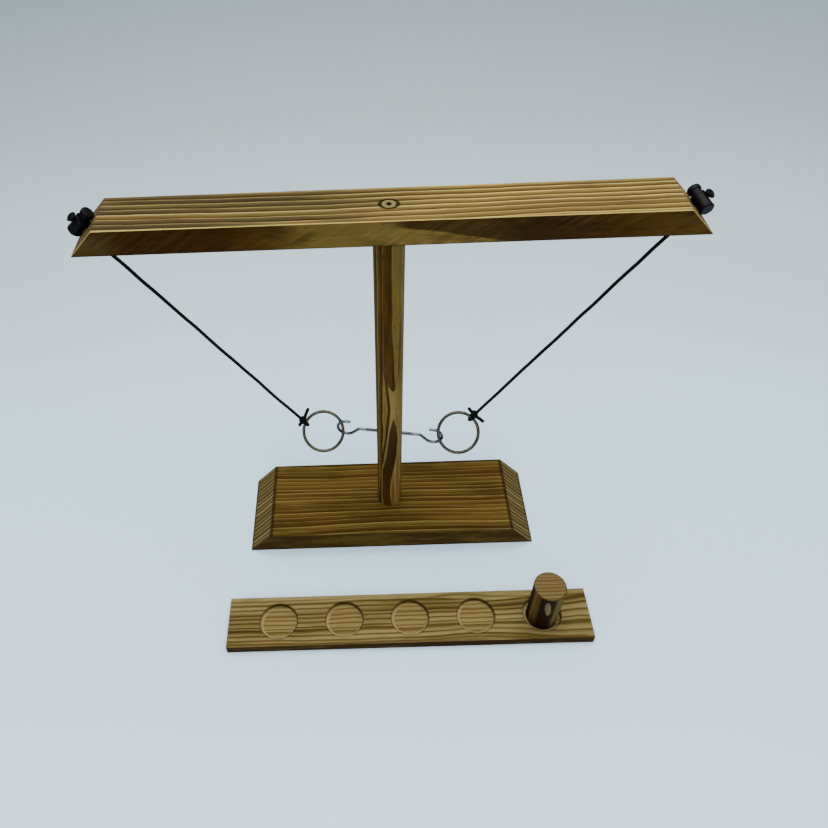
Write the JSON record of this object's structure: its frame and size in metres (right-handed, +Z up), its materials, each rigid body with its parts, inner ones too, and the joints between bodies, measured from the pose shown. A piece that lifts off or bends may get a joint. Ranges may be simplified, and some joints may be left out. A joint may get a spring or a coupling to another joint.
{
  "type": "hook and ring toss game",
  "caption": "Tabletop hook-and-ring toss game: T-shaped wooden stand with corded steel rings on screw hooks, and a score board with a peg.",
  "frame": {"origin": "centre of the base board's underside, on the surface it stands on", "axes": "+X along the crossbar to the right in the picture, +Y away from the players' score board to the back, +Z up"},
  "size_m": [0.4562, 0.2, 0.3754],
  "materials": {
    "bar_wood": "torched pine, oiled, growth lines dark",
    "base_wood": "torched pine, oiled, growth lines dark",
    "post_wood": "torched pine, oiled, growth lines dark",
    "board_wood": "torched pine, oiled, growth lines dark",
    "peg_wood": "torched pine, oiled, growth lines dark",
    "screw_steel": "yellow zinc on steel",
    "hook_zinc": "bright zinc plate",
    "ring_steel": "polished welded wire",
    "spring_steel": "spring wire",
    "cord_black": "waxed braided cord",
    "lock_plastic": "satin black moulding"
  },
  "bodies": {
    "stand": {"base_board": "base_wood", "base_screw": "screw_steel", "post": "post_wood", "crossbar": "bar_wood", "bar_screw": "screw_steel", "left_hook": "hook_zinc", "right_hook": "hook_zinc", "left_cord_tail": "cord_black", "right_cord_tail": "cord_black", "left_end_knot": "cord_black", "right_end_knot": "cord_black"},
    "left_cord": {"left_cord": "cord_black"},
    "right_cord": {"right_cord": "cord_black"},
    "left_ring": {"left_ring": "ring_steel", "left_knot": "cord_black"},
    "right_ring": {"right_ring": "ring_steel", "right_knot": "cord_black"},
    "left_lock": {"left_lock_barrel": "lock_plastic", "left_lock_spring": "spring_steel"},
    "right_lock": {"right_lock_barrel": "lock_plastic", "right_lock_spring": "spring_steel"},
    "left_lock_button": {"left_lock_button": "lock_plastic"},
    "right_lock_button": {"right_lock_button": "lock_plastic"},
    "score_board": {"score_board": "board_wood"},
    "score_peg": {"score_peg": "peg_wood"}
  },
  "joints": [
    {"name": "left_swing", "type": "hinge", "parent": "stand", "child": "left_cord", "pos_m": [-0.213, 0, 0.35], "axis": [0, 1, 0], "range_deg": [0, 80]},
    {"name": "left_ring_rock", "type": "hinge", "parent": "left_cord", "child": "left_ring", "pos_m": [-0.08147, 0.01084, 0.13635], "axis": [0.9789, -0.08, -0.1881], "range_deg": [-40, 0]},
    {"name": "right_swing", "type": "hinge", "parent": "stand", "child": "right_cord", "pos_m": [0.213, 0, 0.35], "axis": [0, -1, 0], "range_deg": [0, 80]},
    {"name": "right_ring_rock", "type": "hinge", "parent": "right_cord", "child": "right_ring", "pos_m": [0.07906, 0.00329, 0.14475], "axis": [-0.8717, -0.2922, -0.3934], "range_deg": [-6, 40]},
    {"name": "left_lock_turn", "type": "hinge", "parent": "stand", "child": "left_lock", "pos_m": [-0.2145, 0, 0.3605], "axis": [-0.7071, 0, 0.7071], "range_deg": [-90, 90]},
    {"name": "left_lock_press", "type": "slide", "parent": "left_lock", "child": "left_lock_button", "axis": [-0.7071, 0, -0.7071], "range_m": [0, 0.003], "stiffness_N_per_m": 1000, "springref_m": -0.003, "deforming": ["left_lock_spring"]},
    {"name": "right_lock_turn", "type": "hinge", "parent": "stand", "child": "right_lock", "pos_m": [0.2145, 0, 0.3605], "axis": [0.7071, 0, 0.7071], "range_deg": [-90, 90]},
    {"name": "right_lock_press", "type": "slide", "parent": "right_lock", "child": "right_lock_button", "axis": [0.2418, -0.9397, -0.2418], "range_m": [0, 0.003], "stiffness_N_per_m": 1000, "springref_m": -0.003, "deforming": ["right_lock_spring"]},
    {"name": "board_slide", "type": "slide", "parent": "stand", "child": "score_board", "axis": [0, -1, 0], "range_m": [0, 0.1]},
    {"name": "peg_lift", "type": "slide", "parent": "score_board", "child": "score_peg", "axis": [0, 0, 1], "range_m": [0, 0.06]}
  ]
}
